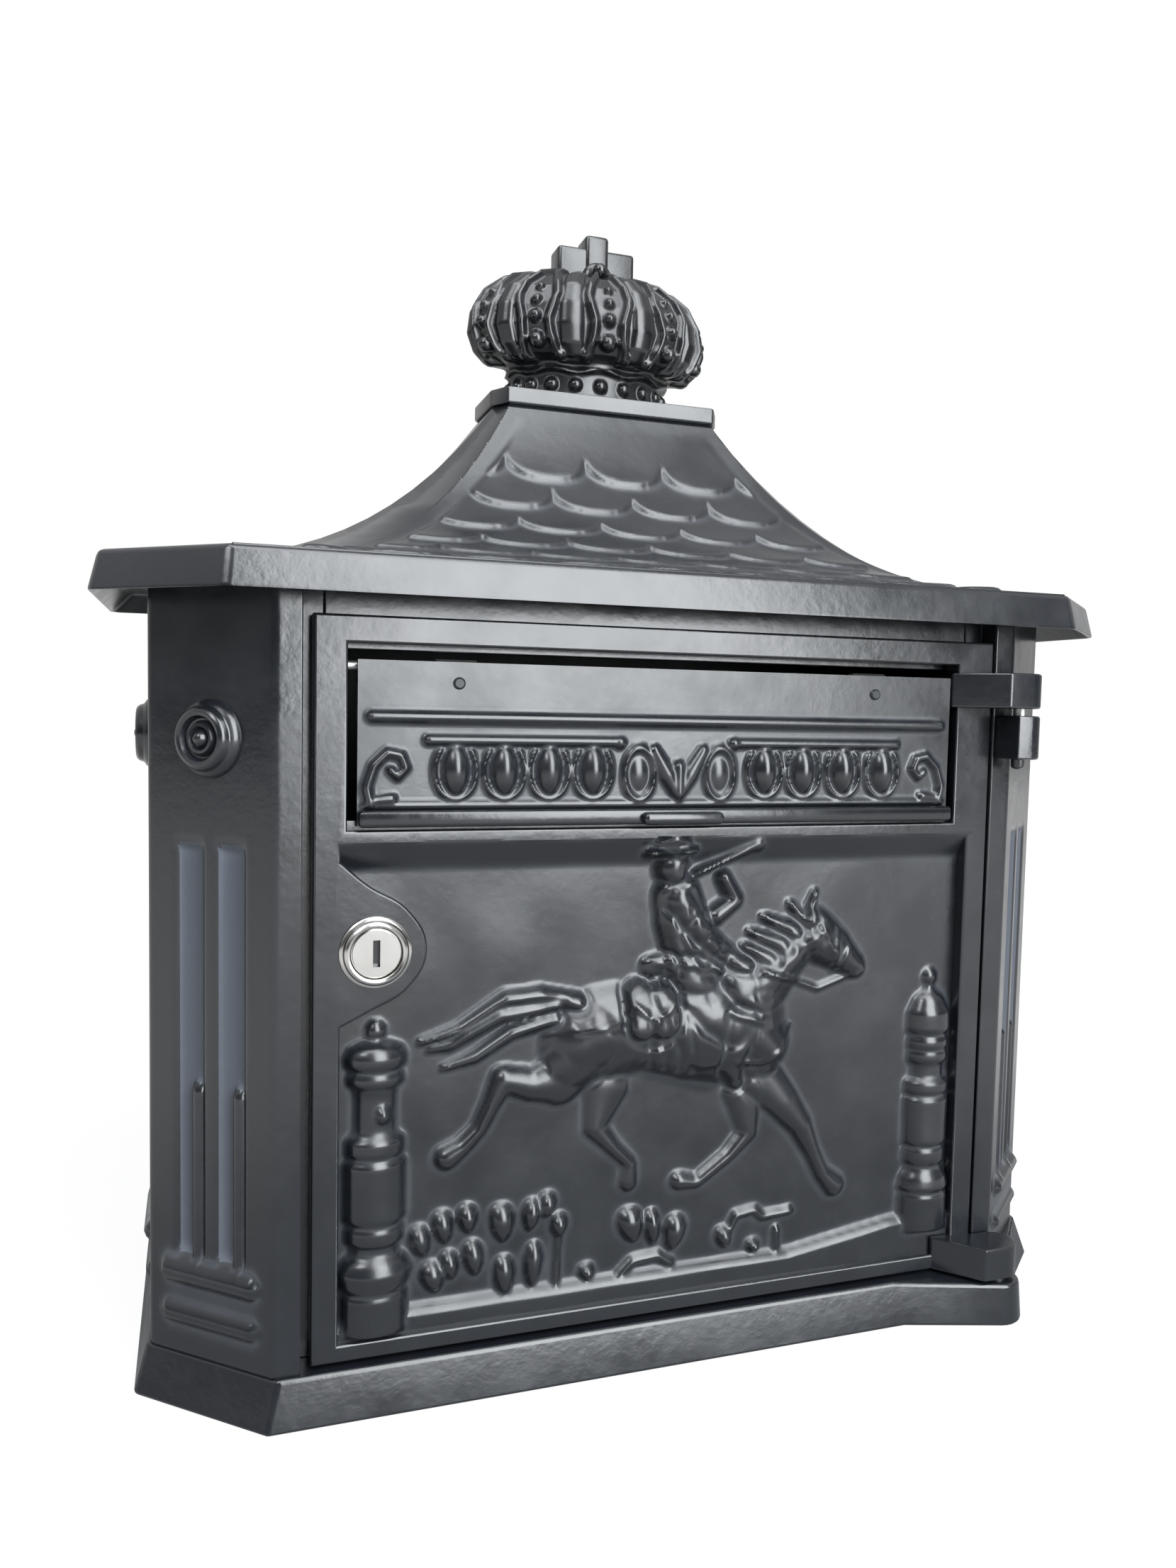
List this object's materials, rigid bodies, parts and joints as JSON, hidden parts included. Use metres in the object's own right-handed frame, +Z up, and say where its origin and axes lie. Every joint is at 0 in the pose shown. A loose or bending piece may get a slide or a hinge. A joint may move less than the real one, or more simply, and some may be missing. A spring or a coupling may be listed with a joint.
{
  "type": "letter box",
  "caption": "Wall letter box of black painted cast aluminium with a tiled pagoda roof, crown finial, relief door, lifting letter flap and cam lock",
  "frame": {"origin": "middle of the overall width and depth, on the underside of the plinth", "axes": "+X to the right seen from the front, +Y into the wall, +Z up"},
  "size_m": [0.3994, 0.1398, 0.4489],
  "materials": {
    "black_paint": "semi-gloss black paint on cast aluminium",
    "painted_sheet": "black paint on sheet metal",
    "black_rivet": "black painted rivet",
    "zinc_steel": "dull zinc plated steel",
    "nickel": "bright nickel plate"
  },
  "bodies": {
    "box": {"roof_casting": "black_paint", "crown_finial": "black_paint", "crown_screw": "zinc_steel", "side_casting_left": "black_paint", "side_casting_right": "black_paint", "base_casting": "black_paint", "back_plate": "painted_sheet", "roof_screws": "zinc_steel", "base_screws": "zinc_steel", "back_screws": "zinc_steel", "upper_hinge_pin": "zinc_steel", "lower_hinge_pin": "zinc_steel"},
    "door": {"door_casting": "black_paint", "flap_rod": "zinc_steel", "lock_housing": "nickel", "lock_nut": "zinc_steel"},
    "flap": {"letter_flap": "black_paint", "flap_rivets": "black_rivet", "flap_strap_left": "zinc_steel", "flap_strap_right": "zinc_steel"},
    "lock": {"lock_plug": "nickel", "lock_cam": "zinc_steel", "cam_screw": "zinc_steel"}
  },
  "joints": [
    {"name": "door_hinge", "type": "hinge", "parent": "box", "child": "door", "pos_m": [0.1395, -0.0596, 0.14], "axis": [0, 0, 1], "range_deg": [0, 110]},
    {"name": "flap_hinge", "type": "hinge", "parent": "door", "child": "flap", "pos_m": [0, -0.0446, 0.254], "axis": [-1, 0, 0], "range_deg": [0, 75]},
    {"name": "lock_turn", "type": "hinge", "parent": "door", "child": "lock", "pos_m": [-0.1094, -0.0366, 0.1586], "axis": [0, 1, 0], "range_deg": [0, 90]}
  ]
}
